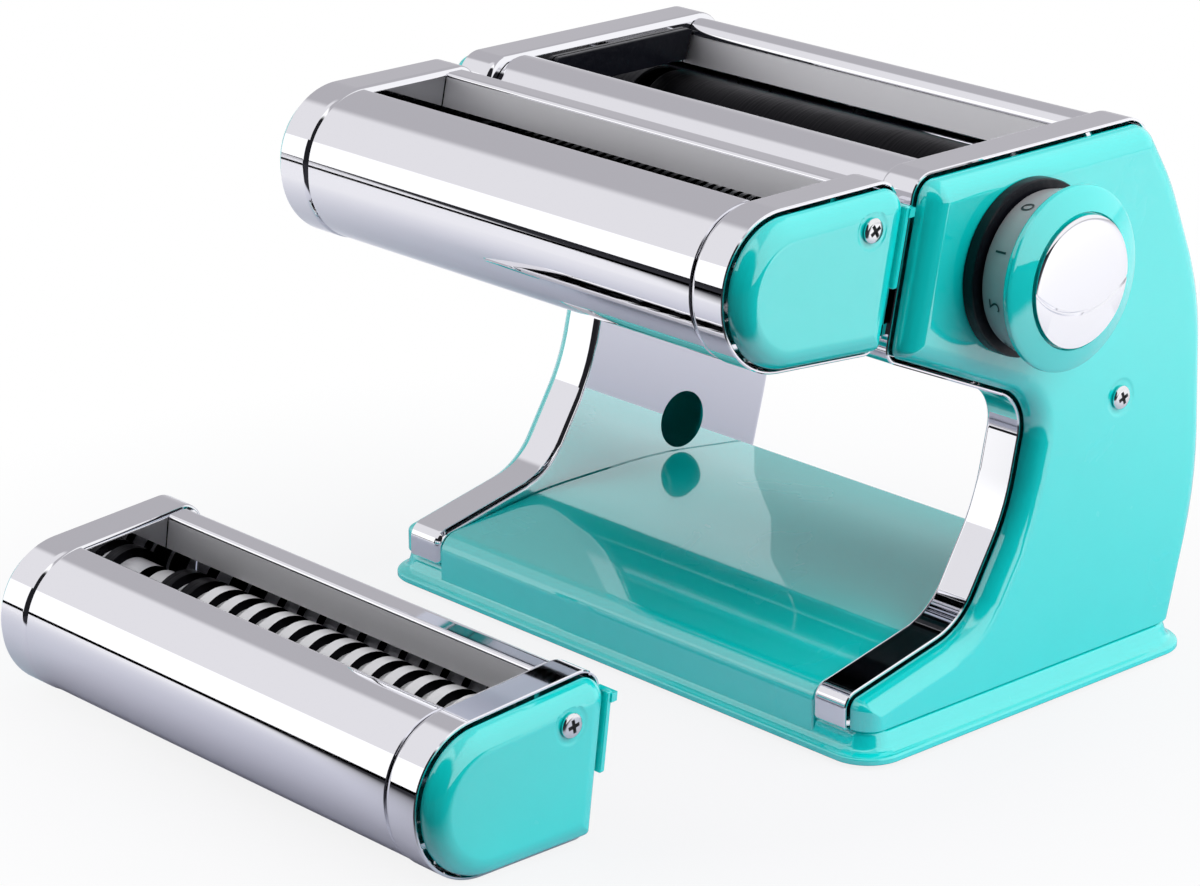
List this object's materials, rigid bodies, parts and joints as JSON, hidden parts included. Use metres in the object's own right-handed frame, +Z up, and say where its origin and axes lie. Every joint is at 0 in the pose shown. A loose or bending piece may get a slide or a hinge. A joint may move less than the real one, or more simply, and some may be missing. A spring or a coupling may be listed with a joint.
{
  "type": "pasta machine",
  "caption": "Countertop pasta machine: C-shaped enamel and chrome stand with sheet rollers and a thickness dial, a hung cutter head, and a spare cutter head beside it.",
  "frame": {"origin": "on the table, under the middle of the set's bounding box (stand and spare head together)", "axes": "+X to the machine's right, where the thickness dial is; +Y to the rear; +Z up"},
  "size_m": [0.2266, 0.28, 0.1599],
  "materials": {
    "enamel": "teal gloss enamel",
    "chrome": "mirror chrome",
    "steel": "ground steel",
    "black_plastic": "slightly rough black",
    "brass": "plain brass",
    "spring_steel": "spring wire",
    "rubber": "black rubber"
  },
  "bodies": {
    "stand": {"base_plate": "enamel", "foot_front_left": "rubber", "foot_front_right": "rubber", "foot_rear_left": "rubber", "foot_rear_right": "rubber", "side_frame_left": "chrome", "side_frame_right": "chrome", "side_cover_left": "enamel", "side_cover_right": "enamel", "cover_screw_left": "steel", "cover_screw_right": "steel", "front_hood": "chrome", "rear_cover": "chrome", "hopper_guard_left": "black_plastic", "hopper_guard_right": "black_plastic", "tie_rod_rear": "chrome", "front_scraper": "black_plastic", "rear_scraper": "black_plastic", "rear_bush_left": "brass", "rear_bush_right": "brass", "dial_boss": "black_plastic"},
    "adjuster": {"eccentric_left": "steel", "eccentric_right": "steel", "dial_spring": "spring_steel"},
    "dial": {"dial_knob": "enamel", "dial_cap": "chrome"},
    "front_roller_set": {"front_roller": "steel", "front_roller_gear": "brass"},
    "rear_roller_set": {"rear_roller": "steel", "rear_roller_gear": "brass"},
    "cutter_head": {"head_end_frame_left": "chrome", "head_end_frame_right": "chrome", "head_end_cap_left": "enamel", "head_end_cap_right": "enamel", "head_cap_screw_left": "steel", "head_cap_screw_right": "steel", "head_front_shell": "chrome", "head_back_plate": "chrome", "head_front_comb": "steel", "head_rear_comb": "steel"},
    "head_front_roll": {"head_front_cutter": "steel", "head_front_gear": "brass"},
    "head_rear_roll": {"head_rear_cutter": "steel", "head_rear_gear": "brass"},
    "spare_head": {"spare_end_frame_left": "chrome", "spare_end_frame_right": "chrome", "spare_end_cap_left": "enamel", "spare_end_cap_right": "enamel", "spare_cap_screw_left": "steel", "spare_cap_screw_right": "steel", "spare_front_shell": "chrome", "spare_back_plate": "chrome", "spare_front_comb": "steel", "spare_rear_comb": "steel"},
    "spare_front_roll": {"spare_front_cutter": "steel", "spare_front_gear": "brass"},
    "spare_rear_roll": {"spare_rear_cutter": "steel", "spare_rear_gear": "brass"}
  },
  "joints": [
    {"name": "dial_turn", "type": "hinge", "parent": "stand", "child": "adjuster", "pos_m": [0.09465, 0.05883, 0.1292], "axis": [1, 0, 0], "range_deg": [0, 162]},
    {"name": "dial_pull", "type": "slide", "parent": "adjuster", "child": "dial", "axis": [1, 0, 0], "range_m": [0, 0.004], "stiffness_N_per_m": 600, "springref_m": -0.003},
    {"name": "front_roller_spin", "type": "hinge", "parent": "adjuster", "child": "front_roller_set", "pos_m": [-0.00535, 0.05763, 0.1292], "axis": [1, 0, 0], "continuous": true},
    {"name": "rear_roller_spin", "type": "hinge", "parent": "stand", "child": "rear_roller_set", "pos_m": [-0.00535, 0.09233, 0.1292], "axis": [1, 0, 0], "continuous": true},
    {"name": "head_lift", "type": "slide", "parent": "stand", "child": "cutter_head", "axis": [0, 0.2079, 0.9781], "range_m": [0, 0.06]},
    {"name": "head_rear_spin", "type": "hinge", "parent": "cutter_head", "child": "head_rear_roll", "pos_m": [-0.00535, 0.00053, 0.136], "axis": [1, 0, 0], "continuous": true},
    {"name": "head_front_spin", "type": "hinge", "parent": "cutter_head", "child": "head_front_roll", "pos_m": [-0.00535, -0.02157, 0.136], "axis": [1, 0, 0], "continuous": true},
    {"name": "spare_lift", "type": "slide", "parent": "stand", "child": "spare_head", "axis": [0, 0, 1], "range_m": [0, 0.1]},
    {"name": "spare_rear_spin", "type": "hinge", "parent": "spare_head", "child": "spare_rear_roll", "pos_m": [0, -0.09517, 0.02186], "axis": [1, 0, 0], "continuous": true},
    {"name": "spare_front_spin", "type": "hinge", "parent": "spare_head", "child": "spare_front_roll", "pos_m": [0, -0.1154, 0.02026], "axis": [1, 0, 0], "continuous": true}
  ],
  "couplings": [
    {"joint": "front_roller_spin", "follows": "rear_roller_spin", "ratio": -1},
    {"joint": "head_front_spin", "follows": "head_rear_spin", "ratio": -1},
    {"joint": "spare_front_spin", "follows": "spare_rear_spin", "ratio": -1}
  ]
}
